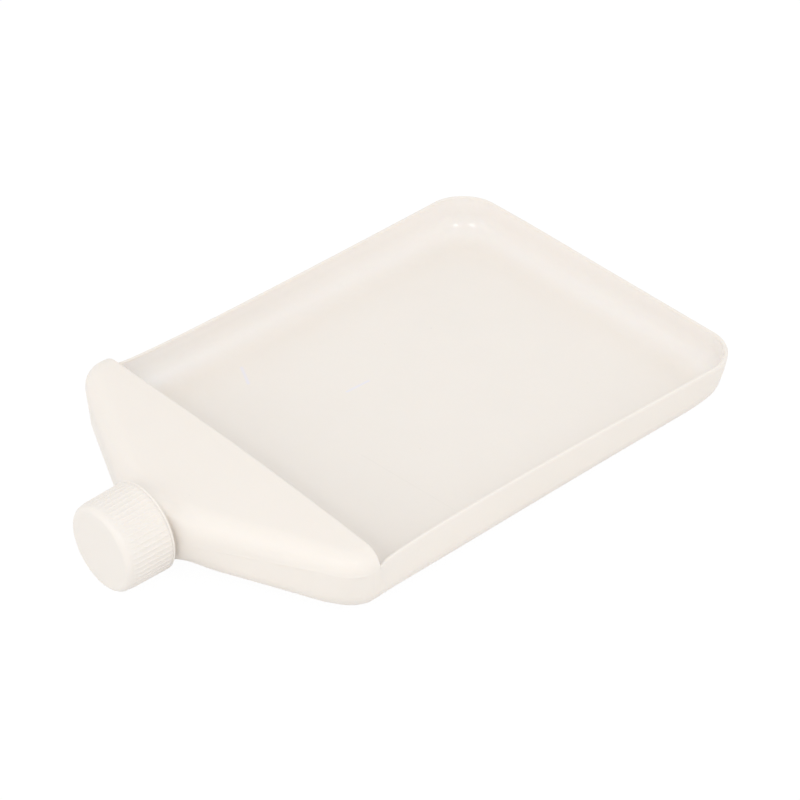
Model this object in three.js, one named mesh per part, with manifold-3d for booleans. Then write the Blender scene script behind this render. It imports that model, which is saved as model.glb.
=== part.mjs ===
// Spouted mixing tray: an open tray whose front is covered by a hood and narrows to a threaded
// neck, closed by a ribbed screw cap with a sealing disc.
//
// Millimetres, +Z up. The origin lies on the flat underside, on the middle line, straight below
// the hood's cut edge. +Y runs to the tray's rear wall, -Y along the neck to the cap.

import * as THREE from 'three';
import { mergeVertices } from 'three/addons/utils/BufferGeometryUtils.js';
import Module from 'manifold-3d';

// ---------------------------------------------------------------- driving dimensions

const TRAY_WIDTH = 140;
const TRAY_LENGTH = 166.7; // from the hood's cut edge to the rear wall
const BODY_HEIGHT = 21.8; // from the underside to the top of the hood at its sides
const RIM_HEIGHT = 16.4; // from the underside to the cut rim of the walls
const WALL = 1.4;
const EDGE_RADIUS = 7; // rounding where the walls meet the floor and the hood
const REAR_CORNER_RADIUS = 14.5;
const SHOULDER_CORNER_RADIUS = 11.6;
const SHOULDER_START = 10.3; // from the cut edge to the corner that this radius rounds
const SHOULDER_ANGLE = THREE.MathUtils.degToRad(24.2); // of the shoulders, off the X axis
const HOOD_CROWN = 1; // rise of the hood's middle over its sides
const WALL_DRAFT = 0.9; // how far each side leans in from the hood's top to the floor
const RIM_SPRING = 2.7; // how far the cut side walls spring in, at a quarter of their length
const CORNER_DRAFT = 1; // how far the corners lean in beyond the sides

const NECK_RADIUS = 12.7; // under the thread
const NECK_WALL = 1.8;
const NECK_FILLET = 1.5; // between neck and shoulders
const NECK_RAMP = 9; // length over which the flat body turns into the round neck
const LEAST_FLAT_SHARE = 0.2; // of the body's width, where it narrows to the neck
const LIP_CHAMFER = 0.4;

const THREAD_PITCH = 4.23;
const THREAD_DEPTH = 1;
const THREAD_BASE_WIDTH = 1.5;
const THREAD_CREST_WIDTH = 0.8;
const THREAD_CLEARANCE = 0.3; // between each crest and the wall that it runs along
const LIP_LEAD = 2.2; // from the lip to the middle of the neck's thread
const SKIRT_LEAD = 2.7; // from the skirt's end to the middle of the cap's thread

const CAP_LENGTH = 18;
const CAP_WALL = 1.05; // between the ribs
const CAP_TOP = 1.5;
const CAP_GAP = 0.3; // neck left bare between its fillet and the skirt
const CAP_DRAFT = 0.3; // how much smaller the closed end's radius is
const CAP_EDGE_RADIUS = 2.2;
const SKIRT_BEAD = 0.8; // smooth band at the skirt's end
const RIB_RUN_OUT = 0.3; // slope of the ribs' ends at the band
const RIB_COUNT = 50;
const RIB_DEPTH = 0.45;
const RIB_CREST_SHARE = 0.35; // of a rib's pitch, and so on
const RIB_ROOT_SHARE = 0.3;

const LINER_THICKNESS = 1.5;
const REST_GAP = 0.3; // left between pieces that touch on the real thing

// ---------------------------------------------------------------- worked out from them

const HALF_WIDTH = TRAY_WIDTH / 2;
const AXIS_HEIGHT = BODY_HEIGHT / 2; // of the neck and the cap
const SHOULDER_TURN = Math.PI / 2 - SHOULDER_ANGLE;
const SIDE_END = SHOULDER_CORNER_RADIUS * Math.tan(SHOULDER_TURN / 2) - SHOULDER_START;
const REAR_CORNER_START = TRAY_LENGTH - REAR_CORNER_RADIUS;

// A skin is one surface of the moulding: the outer one, or the inner one a wall's thickness in.
const OUTER_SKIN = makeSkin(0, NECK_RADIUS);
const INNER_SKIN = makeSkin(WALL, NECK_RADIUS - NECK_WALL);

const SKIRT_END = OUTER_SKIN.neckBase - CAP_GAP;
const CAP_END = SKIRT_END - CAP_LENGTH;
const CAP_CEILING = CAP_END + CAP_TOP;
const LIP = CAP_CEILING + REST_GAP + LINER_THICKNESS + REST_GAP;

const CAP_BORE_RADIUS = NECK_RADIUS + THREAD_DEPTH + THREAD_CLEARANCE;
const CAP_ROOT_RADIUS = CAP_BORE_RADIUS + CAP_WALL;
const LINER_RADIUS = CAP_BORE_RADIUS - REST_GAP;

const CAP_THREAD_START = SKIRT_END - SKIRT_LEAD;
const NECK_THREAD_START = CAP_THREAD_START - THREAD_PITCH / 2;
const THREAD_TURNS = (NECK_THREAD_START - LIP - LIP_LEAD) / THREAD_PITCH;

// ---------------------------------------------------------------- mesh resolution

const CORNER_STEPS = 6; // per quarter turn of a section's corner
const FLAT_STEPS = 5; // across half of a flat
const FILLET_STEPS = 3;
const SHOULDER_STEPS = 12;
const PLAN_ARC_STEPS = 6;
const SIDE_STEPS = 8;
const CAP_EDGE_STEPS = 3;
const ROUND_STEPS = 64;
const THREAD_STEPS = 32; // per turn
const SEAM_TOLERANCE = 1e-4;
const OVERSHOOT = 1; // how far a cutting solid runs past what it cuts
const THREAD_ROOT_SINK = 0.4; // how far a thread's ridge reaches into its wall

// ---------------------------------------------------------------- solids

const wasm = await Module();
wasm.setup();

const { clamp, lerp, smoothstep } = THREE.MathUtils;

function toSolid(geometry) {
  const bare = geometry.clone();
  bare.deleteAttribute('normal');
  bare.deleteAttribute('uv');
  const merged = mergeVertices(bare, SEAM_TOLERANCE);
  const triVerts = keepWholeTriangles(merged.index.array);
  const vertProperties = merged.attributes.position.array;
  return new wasm.Manifold(new wasm.Mesh({ numProp: 3, vertProperties, triVerts }));
}

// Drops the triangles that merging has folded to a line.
function keepWholeTriangles(index) {
  const kept = [];
  for (let i = 0; i < index.length; i += 3) {
    const [a, b, c] = index.slice(i, i + 3);
    if (a !== b && b !== c && c !== a) kept.push(a, b, c);
  }
  return new Uint32Array(kept);
}

function toMesh(name, solid, material) {
  const { vertProperties, triVerts } = solid.getMesh();
  const geometry = new THREE.BufferGeometry();
  geometry.setAttribute('position', new THREE.BufferAttribute(vertProperties, 3));
  geometry.setIndex(new THREE.BufferAttribute(triVerts, 1));
  geometry.computeVertexNormals();
  const mesh = new THREE.Mesh(geometry, material);
  mesh.name = name;
  return mesh;
}

function fromTriangles(triangles) {
  return toSolid(new THREE.BufferGeometry().setFromPoints(triangles.flat()));
}

// Even shares from 0 to 1.
function shares(count) {
  return Array.from({ length: count + 1 }, (_, i) => i / count);
}

// Two triangles for each pair of neighbouring points on two neighbouring lines of points.
function bridge(lineA, lineB) {
  const triangles = [];
  for (let i = 0; i + 1 < lineA.length; i++) {
    triangles.push([lineA[i], lineA[i + 1], lineB[i + 1]]);
    triangles.push([lineA[i], lineB[i + 1], lineB[i]]);
  }
  return triangles;
}

// The skin over a row of loops, open at both ends.
function bridgeLoops(loops) {
  const closedLoops = loops.map((loop) => [...loop, loop[0]]);
  return closedLoops.slice(1).flatMap((loop, i) => bridge(closedLoops[i], loop));
}

// Closes a loop with a fan around its middle.
function fan(loop) {
  const middle = loop.reduce((sum, p) => sum.add(p), new THREE.Vector3()).divideScalar(loop.length);
  return loop.map((point, i) => [middle, point, loop[(i + 1) % loop.length]]);
}

// A closed solid through a row of loops that run counter-clockwise seen from its last end.
function loft(loops) {
  const start = fan(loops[0].toReversed());
  return fromTriangles([...start, ...bridgeLoops(loops), ...fan(loops.at(-1))]);
}

// A solid turned about the neck's axis, from a profile of radius and y.
function turned(profile) {
  const points = profile.map(([radius, y]) => new THREE.Vector2(radius, y));
  const geometry = new THREE.LatheGeometry(points, ROUND_STEPS);
  return toSolid(geometry.translate(0, 0, AXIS_HEIGHT));
}

// A point at a radius and angle about the neck's axis. Angles grow from +X to +Z.
function aroundNeck(radius, angle, y) {
  return new THREE.Vector3(radius * Math.cos(angle), y, AXIS_HEIGHT + radius * Math.sin(angle));
}

// ---------------------------------------------------------------- the moulding's plan outline

// The outline is a straight side, a rounded corner, a straight shoulder and a fillet into the
// neck. An inset outline runs inside it at an even distance.
function makeSkin(inset, neckRadius) {
  const fillet = NECK_FILLET + inset;
  return {
    inset,
    neckRadius,
    fillet,
    neckBase: shoulderY(neckRadius, inset) - fillet * Math.tan(SHOULDER_TURN / 2),
    edgeRadius: EDGE_RADIUS - inset,
    halfHeight: AXIS_HEIGHT - inset,
  };
}

// Where the inset shoulder line passes a given half width.
function shoulderY(x, inset) {
  const lineX = HALF_WIDTH - inset * Math.sin(SHOULDER_ANGLE);
  const lineY = inset * Math.cos(SHOULDER_ANGLE) - SHOULDER_START;
  return lineY - (lineX - x) * Math.tan(SHOULDER_ANGLE);
}

// Half width of the inset outline ahead of the tray, without the neck.
function bodyHalfWidth(y, inset) {
  const pastSide = SIDE_END - y;
  if (pastSide <= 0) return HALF_WIDTH - inset;
  const radius = SHOULDER_CORNER_RADIUS - inset;
  if (pastSide <= radius * Math.cos(SHOULDER_ANGLE)) {
    return HALF_WIDTH - SHOULDER_CORNER_RADIUS + Math.sqrt(radius ** 2 - pastSide ** 2);
  }
  return (y - shoulderY(0, inset)) / Math.tan(SHOULDER_ANGLE);
}

// Half width of a skin ahead of the tray, with its neck.
function skinHalfWidth(y, skin) {
  const fromBase = y - skin.neckBase;
  if (fromBase <= 0) return skin.neckRadius;
  if (fromBase <= skin.fillet * Math.sin(SHOULDER_TURN)) {
    return skin.neckRadius + skin.fillet - Math.sqrt(skin.fillet ** 2 - fromBase ** 2);
  }
  return bodyHalfWidth(y, skin.inset);
}

// ---------------------------------------------------------------- the moulding's skins

// How far a place is round the plan corner that starts at a given x and y, from 0 to 1.
function cornerShare(x, y, startX, startY, radius) {
  return clamp((Math.abs(x) - startX) / radius, 0, 1) * clamp((y - startY) / radius, 0, 1);
}

// Places a point of the plain moulding and gives it its crown, drafts and sprung walls.
function shaped(x, y, height) {
  const z = AXIS_HEIGHT + height;
  const across = x / HALF_WIDTH;
  const onBody = smoothstep(y, OUTER_SKIN.neckBase, SIDE_END);
  const crown = HOOD_CROWN * (1 - across ** 2) * clamp(height / INNER_SKIN.halfHeight, 0, 1);
  const depth = 1 - z / BODY_HEIGHT;
  const lean = across * WALL_DRAFT * depth * onBody;
  const along = clamp(y / REAR_CORNER_START, 0, 1);
  const sprung = RIM_SPRING * Math.sin(Math.PI * Math.sqrt(along)) * clamp(z / RIM_HEIGHT, 0, 1);
  const rear = cornerShare(x, y, HALF_WIDTH - REAR_CORNER_RADIUS, REAR_CORNER_START, REAR_CORNER_RADIUS);
  const frontX = HALF_WIDTH - SHOULDER_CORNER_RADIUS;
  const front = cornerShare(x, -y, frontX, -SIDE_END, SHOULDER_CORNER_RADIUS);
  const cornerLean = 2 * CORNER_DRAFT * depth;
  const shapedX = x - lean - Math.sign(x) * (sprung * across ** 4 + cornerLean * (rear + front));
  return new THREE.Vector3(shapedX, y - cornerLean * (rear - front), z + crown * onBody);
}

// Angles and flat shares up a section's quarter, from its side to the middle of its flat.
const CORNER_ANGLES = shares(CORNER_STEPS).map((share) => (share * Math.PI) / 2);
const FLAT_SHARES = shares(FLAT_STEPS).slice(1).map((share) => 1 - share);
const QUARTER_STEPS = CORNER_ANGLES.length + FLAT_SHARES.length;

// A section's corner at one angle, as its inset and its height over the axis.
function cornerPoint(angle, skin) {
  const inset = skin.inset + skin.edgeRadius * (1 - Math.cos(angle));
  const height = skin.halfHeight - skin.edgeRadius * (1 - Math.sin(angle));
  return { inset, height };
}

// A section's quarter as [x, height] pairs, with the body's rounded oblong corners. Where the
// body is narrow, the corners are squeezed to leave some of its width flat.
function oblongQuarter(y, skin) {
  const side = skinHalfWidth(y, skin);
  const cornerWidth = side - bodyHalfWidth(y, skin.inset + skin.edgeRadius);
  const squeeze = Math.min(1, ((1 - LEAST_FLAT_SHARE) * side) / cornerWidth);
  const corner = CORNER_ANGLES.map((angle) => {
    const { inset, height } = cornerPoint(angle, skin);
    return [side - (side - bodyHalfWidth(y, inset)) * squeeze, height];
  });
  const flatWidth = side - cornerWidth * squeeze;
  const flat = FLAT_SHARES.map((share) => [flatWidth * share, skin.halfHeight]);
  return [[side, 0], ...corner, ...flat];
}

// The section's quarter where the oblong body turns into the round neck.
function blendedQuarter(y, skin) {
  const bodyShare = smoothstep(y, OUTER_SKIN.neckBase, OUTER_SKIN.neckBase + NECK_RAMP);
  const side = skinHalfWidth(y, skin);
  const roundHeight = lerp(skin.neckRadius, skin.halfHeight, bodyShare);
  return oblongQuarter(y, skin).map(([x, height], i) => {
    const angle = ((i / QUARTER_STEPS) * Math.PI) / 2;
    const round = [side * Math.cos(angle), roundHeight * Math.sin(angle)];
    return [lerp(round[0], x, bodyShare), lerp(round[1], height, bodyShare)];
  });
}

// A section's whole loop, from the middle of the underside over the +X side and back.
function sectionLoop(y, skin) {
  const quarter = blendedQuarter(y, skin);
  const lower = quarter.slice(1).map(([x, height]) => [x, -height]).toReversed();
  const half = [...lower, ...quarter];
  const otherHalf = half.slice(1, -1).map(([x, height]) => [-x, height]).toReversed();
  return [...half, ...otherHalf].map(([x, height]) => shaped(x, y, height));
}

// Where a skin has its sections, from the cut edge round the corner, along the shoulder and
// round the fillet to the neck.
function sectionPlaces(skin) {
  const cornerEnd = SIDE_END - (SHOULDER_CORNER_RADIUS - skin.inset) * Math.cos(SHOULDER_ANGLE);
  const filletEnd = skin.neckBase + skin.fillet * Math.sin(SHOULDER_TURN);
  const cornerShares = shares(PLAN_ARC_STEPS).map((share) => 1 - Math.cos((share * Math.PI) / 2));
  const corner = cornerShares.toReversed().map((share) => lerp(cornerEnd, SIDE_END, share));
  const shoulder = shares(SHOULDER_STEPS).slice(1).map((share) => lerp(cornerEnd, filletEnd, share));
  const filletShares = shares(FILLET_STEPS).slice(1).map((share) => (1 - share) ** 2);
  const fillet = filletShares.map((share) => lerp(skin.neckBase, filletEnd, share));
  return [0, ...corner, ...shoulder, ...fillet];
}

// A line round the tray at one inset and height, from the cut edge's +X end to its -X end.
function trayLine({ inset, height }) {
  const arcX = HALF_WIDTH - REAR_CORNER_RADIUS;
  const radius = REAR_CORNER_RADIUS - inset;
  const side = shares(SIDE_STEPS).map((share) => [HALF_WIDTH - inset, REAR_CORNER_START * share ** 2]);
  const arc = shares(PLAN_ARC_STEPS).slice(1).map((share) => {
    const angle = (share * Math.PI) / 2;
    return [arcX + radius * Math.cos(angle), REAR_CORNER_START + radius * Math.sin(angle)];
  });
  const half = [...side, ...arc];
  const otherHalf = half.map(([x, y]) => [-x, y]).toReversed();
  return [...half, ...otherHalf].map(([x, y]) => shaped(x, y, height));
}

// A flat of the tray, from its outline to the section at the cut edge.
function trayFlat(outline, height, skin) {
  const flatWidth = HALF_WIDTH - skin.inset - skin.edgeRadius;
  const places = FLAT_SHARES.map((share) => flatWidth * share);
  const cutEdge = [...places.map((x) => -x), ...places.slice(0, -1).toReversed()];
  const points = [...outline, ...cutEdge.map((x) => shaped(x, 0, height))];
  const faces = THREE.ShapeUtils.triangulateShape(points.map(({ x, y }) => new THREE.Vector2(x, y)), []);
  return faces.map((face) => (height > 0 ? face : face.toReversed()).map((i) => points[i]));
}

// The part of a skin behind the cut edge, open there.
function trayTriangles(skin) {
  const upper = CORNER_ANGLES.map((angle) => cornerPoint(angle, skin));
  const lower = upper.map(({ inset, height }) => ({ inset, height: -height })).toReversed();
  const lines = [...lower, { inset: skin.inset, height: 0 }, ...upper].map(trayLine);
  const walls = lines.slice(1).flatMap((line, i) => bridge(lines[i], line));
  const floor = trayFlat(lines[0], -skin.halfHeight, skin);
  const top = trayFlat(lines.at(-1), skin.halfHeight, skin);
  return [...walls, ...floor, ...top];
}

// The closed bottle inside a skin, from the rear wall to the last loop on its neck.
function bottle(skin, neckLoops) {
  const loops = [...sectionPlaces(skin).map((y) => sectionLoop(y, skin)), ...neckLoops];
  return fromTriangles([...trayTriangles(skin), ...bridgeLoops(loops), ...fan(loops.at(-1))]);
}

// ---------------------------------------------------------------- threads

// A right-handed ridge that winds from startY towards the cap's closed end. It stands on a wall
// of the root radius and fades in and out over a quarter turn at each end.
function helicalRidge(rootRadius, crestRadius, startY) {
  const outward = Math.sign(crestRadius - rootRadius);
  const count = Math.ceil(THREAD_TURNS * THREAD_STEPS);
  const fade = THREAD_STEPS / 4;
  const loops = shares(count).map((share, i) => {
    const angle = share * THREAD_TURNS * 2 * Math.PI;
    const y = startY - share * THREAD_TURNS * THREAD_PITCH;
    const standing = Math.min(1, i / fade, (count - i) / fade);
    const crest = lerp(rootRadius, crestRadius, standing);
    const sunk = rootRadius - outward * THREAD_ROOT_SINK;
    const base = THREAD_BASE_WIDTH / 2;
    const top = THREAD_CREST_WIDTH / 2;
    const profile = [[sunk, -base], [sunk, base], [crest, top], [crest, -top]];
    return profile.map(([radius, along]) => aroundNeck(radius, angle, y + along));
  });
  return loft(outward < 0 ? loops : loops.map((loop) => loop.toReversed()));
}

// ---------------------------------------------------------------- the three pieces

function makeTrayBody() {
  const lipSkin = { ...OUTER_SKIN, neckRadius: NECK_RADIUS - LIP_CHAMFER };
  const lipLoops = [sectionLoop(LIP + LIP_CHAMFER, OUTER_SKIN), sectionLoop(LIP, lipSkin)];
  const outside = bottle(OUTER_SKIN, lipLoops);
  const inside = bottle(INNER_SKIN, [sectionLoop(LIP - OVERSHOOT, INNER_SKIN)]);
  const openingLength = TRAY_LENGTH + OVERSHOOT;
  const opening = new THREE.BoxGeometry(TRAY_WIDTH + 2 * OVERSHOOT, openingLength, BODY_HEIGHT);
  opening.translate(0, openingLength / 2, RIM_HEIGHT + BODY_HEIGHT / 2);
  const thread = helicalRidge(NECK_RADIUS, NECK_RADIUS + THREAD_DEPTH, NECK_THREAD_START);
  return outside.subtract(inside).subtract(toSolid(opening)).add(thread);
}

// One ring of the cap's outside. Each rib has two points on its crest and two at its roots.
function ribbedRing(y, crestRadius, rootRadius) {
  const flank = (1 - RIB_CREST_SHARE - RIB_ROOT_SHARE) / 2;
  const pattern = [
    [0, crestRadius],
    [RIB_CREST_SHARE, crestRadius],
    [RIB_CREST_SHARE + flank, rootRadius],
    [1 - flank, rootRadius],
  ];
  return Array.from({ length: RIB_COUNT }, (_, rib) => {
    return pattern.map(([share, radius]) => {
      return aroundNeck(radius, ((rib + share) / RIB_COUNT) * 2 * Math.PI, y);
    });
  }).flat();
}

function makeScrewCap() {
  const openRadius = CAP_ROOT_RADIUS + RIB_DEPTH;
  const closedRadius = openRadius - CAP_DRAFT;
  const faceRadius = closedRadius - CAP_EDGE_RADIUS;
  const ribStart = SKIRT_END - SKIRT_BEAD;
  const ribEnd = CAP_END + CAP_EDGE_RADIUS;
  const edge = shares(CAP_EDGE_STEPS).map((share) => {
    const angle = (share * Math.PI) / 2;
    const y = ribEnd - CAP_EDGE_RADIUS * Math.sin(angle);
    const crest = lerp(faceRadius, closedRadius, Math.cos(angle));
    const root = lerp(faceRadius, closedRadius - RIB_DEPTH, Math.cos(angle));
    return ribbedRing(y, crest, root);
  });
  const outside = loft([
    ribbedRing(SKIRT_END, openRadius, openRadius),
    ribbedRing(ribStart, openRadius, openRadius),
    ribbedRing(ribStart - RIB_RUN_OUT, openRadius, openRadius - RIB_DEPTH),
    ...edge,
  ]);
  const mouth = SKIRT_END + OVERSHOOT;
  const bore = turned([[0, CAP_CEILING], [CAP_BORE_RADIUS, CAP_CEILING], [CAP_BORE_RADIUS, mouth], [0, mouth]]);
  const thread = helicalRidge(CAP_BORE_RADIUS, NECK_RADIUS + THREAD_CLEARANCE, CAP_THREAD_START);
  return outside.subtract(bore).add(thread);
}

function makeCapLiner() {
  const front = CAP_CEILING + REST_GAP;
  const back = front + LINER_THICKNESS;
  return turned([[0, front], [LINER_RADIUS, front], [LINER_RADIUS, back], [0, back]]);
}

// ---------------------------------------------------------------- assembly

const trayPlastic = new THREE.MeshStandardMaterial({ color: 0xf3ece5, roughness: 0.45, metalness: 0 });
const capPlastic = new THREE.MeshStandardMaterial({ color: 0xf4ede6, roughness: 0.4, metalness: 0 });
const linerFoam = new THREE.MeshStandardMaterial({ color: 0xf6f4f0, roughness: 0.8, metalness: 0 });

const mixingPalette = new THREE.Group();
mixingPalette.add(toMesh('tray_body', makeTrayBody(), trayPlastic));
mixingPalette.add(toMesh('screw_cap', makeScrewCap(), capPlastic));
mixingPalette.add(toMesh('cap_liner', makeCapLiner(), linerFoam));

export default mixingPalette;
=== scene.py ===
# The looks of the spouted mixing tray: a tray and hood moulded in one piece, its ribbed screw
# cap and the foam disc that seals it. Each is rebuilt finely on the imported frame.
#
# Shapes are worked out in millimetres, in the frame's own axes, and turned into metres as each
# mesh is made. Materials, lamps and the camera are in metres.

import math
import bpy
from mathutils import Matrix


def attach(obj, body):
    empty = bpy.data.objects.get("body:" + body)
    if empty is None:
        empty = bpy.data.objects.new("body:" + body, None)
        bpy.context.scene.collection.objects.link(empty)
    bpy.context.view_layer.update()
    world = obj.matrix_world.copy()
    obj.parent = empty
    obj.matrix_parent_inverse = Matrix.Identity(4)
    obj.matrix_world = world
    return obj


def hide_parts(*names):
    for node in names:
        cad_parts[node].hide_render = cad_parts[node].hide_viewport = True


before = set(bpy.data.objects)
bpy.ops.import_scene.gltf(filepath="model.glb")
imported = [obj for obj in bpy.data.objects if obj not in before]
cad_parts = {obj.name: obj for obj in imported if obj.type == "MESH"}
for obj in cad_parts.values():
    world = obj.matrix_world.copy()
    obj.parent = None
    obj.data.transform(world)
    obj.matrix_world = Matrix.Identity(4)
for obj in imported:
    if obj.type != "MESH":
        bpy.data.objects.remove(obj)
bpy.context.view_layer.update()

from types import SimpleNamespace

import bmesh
import bpy
import numpy as np
from mathutils import Vector

# ---------------------------------------------------------------- driving dimensions, in mm

TRAY_WIDTH = 140
TRAY_LENGTH = 166.7  # from the hood's cut edge to the rear wall
BODY_HEIGHT = 21.8  # to the top of the hood at its sides
RIM_HEIGHT = 16.4
WALL = 1.4
EDGE_RADIUS = 7  # where the walls meet the floor and the hood
BASIN_RADIUS = 9.5  # where they meet the floor inside
REAR_CORNER_RADIUS = 14.5
SHOULDER_CORNER_RADIUS = 11.6
SHOULDER_START = 10.3  # from the cut edge to the corner that this radius rounds
SHOULDER_ANGLE = math.radians(24.2)  # of the shoulders, off the X axis
HOOD_CROWN = 1.8
WALL_DRAFT = 0.9
RIM_SPRING = 2.7  # how far the cut side walls spring in
CORNER_DRAFT = 1
REAR_TUCK = 12  # how much larger the underside's rear corners are in plan
REAR_TUCK_SHARE = 0.64  # how far they go towards that at the very bottom
REAR_TUCK_POWER = 3
FRONT_TUCK = 0.4  # how far the shoulders and the front of the sides draw in underneath
FRONT_TUCK_POWER = 3
FRONT_TUCK_AT_SIDES = 0.6  # the sides' share of it
FRONT_TUCK_END = 45  # where it has faded out along the sides
RIM_RISE = 0.5  # the rear rim's rise towards its -X corner
RIM_RISE_X = -38  # its highest place
RIM_RISE_SPREAD = 26
HOOD_RISE = 0.8  # the hood's rise along its -X edge
HOOD_RISE_Y = -10  # its middle

NECK_RADIUS = 12.7
NECK_WALL = 1.8
NECK_FILLET = 1.5
NECK_RAMP = 9  # length over which the flat body turns into the round neck
LEAST_FLAT_SHARE = 0.2

THREAD_PITCH = 4.23
THREAD_DEPTH = 1
THREAD_CREST = 0.7  # width of the flat top
THREAD_BASE = 1.7
THREAD_CLEARANCE = 0.3
THREAD_FADE = 0.25  # of a turn, at each end
LIP_LEAD = 2.2
SKIRT_LEAD = 2.7

CAP_LENGTH = 18
CAP_WALL = 1.5
CAP_TOP = 1.5
CAP_GAP = 0.3
CAP_DRAFT = 0.3
CAP_DROOP = 0.3  # how much lower the outside's closed end lies
CAP_EDGE_RADIUS = 2.2
SKIRT_BEAD = 0.8
CAP_RINGS = (12.4, 11.6, 7.5, 4)  # radii of the rings across the closed end
RIB_COUNT = 50
RIB_DEPTH = 0.2
RIB_CREST_SHARE = 0.15
RIB_ROOT_SHARE = 0.5
RIB_RISE = 0.9  # length over which they rise from the skirt's bead
RIB_FADE = 2  # length over which they fade towards the closed end

LINER_THICKNESS = 1.5
LINER_EDGE = 0.3
LINER_PRESS = 0.12  # depth of the ring that the lip has pressed into it
REST_GAP = 0.3

CUT_ROUNDING = 0.7  # of the trimmed rim and the hood's cut edge
LIP_ROUNDING = 0.5
SEAM_HEIGHT = 0.08  # the mould's parting line
SEAM_CLIMB_END = 13  # from the sides' start to where the line stops climbing
SEAM_HALF_WIDTH = 0.25
WAVINESS = 0.07

# ---------------------------------------------------------------- worked out from them

MM = 0.001
HALF_WIDTH = TRAY_WIDTH / 2 - 0.002  # a hair inside the frame's box
AXIS_HEIGHT = BODY_HEIGHT / 2
SHOULDER_TURN = math.pi / 2 - SHOULDER_ANGLE
SIDE_END = SHOULDER_CORNER_RADIUS * math.tan(SHOULDER_TURN / 2) - SHOULDER_START
REAR_CORNER_START = TRAY_LENGTH - REAR_CORNER_RADIUS
HOOD_END = -CUT_ROUNDING  # where the skins stop and the cut edge's rounding starts


def shoulder_y(x, inset):
    """Where the inset shoulder line passes a given half width."""
    line_x = HALF_WIDTH - inset * math.sin(SHOULDER_ANGLE)
    line_y = inset * math.cos(SHOULDER_ANGLE) - SHOULDER_START
    return line_y - (line_x - x) * math.tan(SHOULDER_ANGLE)


def make_skin(inset, neck_radius, lower_radius):
    """One surface of the moulding: the outer one, or the inner one a wall's thickness in."""
    fillet = NECK_FILLET + inset
    return SimpleNamespace(
        inset=inset,
        neck_radius=neck_radius,
        fillet=fillet,
        neck_base=shoulder_y(neck_radius, inset) - fillet * math.tan(SHOULDER_TURN / 2),
        lower_radius=lower_radius,
        upper_radius=EDGE_RADIUS - inset,
        half_height=AXIS_HEIGHT - inset,
    )


OUTER_SKIN = make_skin(0, NECK_RADIUS, EDGE_RADIUS)
INNER_SKIN = make_skin(WALL, NECK_RADIUS - NECK_WALL, BASIN_RADIUS)

SKIRT_END = OUTER_SKIN.neck_base - CAP_GAP
CAP_END = SKIRT_END - CAP_LENGTH
CAP_CEILING = CAP_END + CAP_TOP
LIP = CAP_CEILING + REST_GAP + LINER_THICKNESS + REST_GAP
CAP_BORE_RADIUS = NECK_RADIUS + THREAD_DEPTH + THREAD_CLEARANCE
CAP_OPEN_RADIUS = CAP_BORE_RADIUS + CAP_WALL
CAP_CLOSED_RADIUS = CAP_OPEN_RADIUS - CAP_DRAFT
CAP_FACE_RADIUS = CAP_CLOSED_RADIUS - CAP_EDGE_RADIUS
LINER_RADIUS = CAP_BORE_RADIUS - REST_GAP
CAP_THREAD_START = SKIRT_END - SKIRT_LEAD
NECK_THREAD_START = CAP_THREAD_START - THREAD_PITCH / 2
THREAD_TURNS = (NECK_THREAD_START - LIP - LIP_LEAD) / THREAD_PITCH

# ---------------------------------------------------------------- mesh resolution

FLAT_STEPS = 14
CORNER_STEPS = 14
WALL_STEPS = 9
UPPER_STEPS = 18
SIDE_STEPS = 60
PLAN_ARC_STEPS = 20
REAR_STEPS = 14
SHOULDER_STEPS = 36
FILLET_STEPS = 8
THREAD_ROW = 0.13
CUT_STEPS = 10
CAP_EDGE_STEPS = 9
JOIN_DISTANCE = 0.002

# ---------------------------------------------------------------- meshes from grids and rings


def smoothstep(value, low, high):
    share = np.clip((value - low) / (high - low), 0, 1)
    return share * share * (3 - 2 * share)


def lerp(a, b, share):
    return a + (b - a) * share


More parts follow.
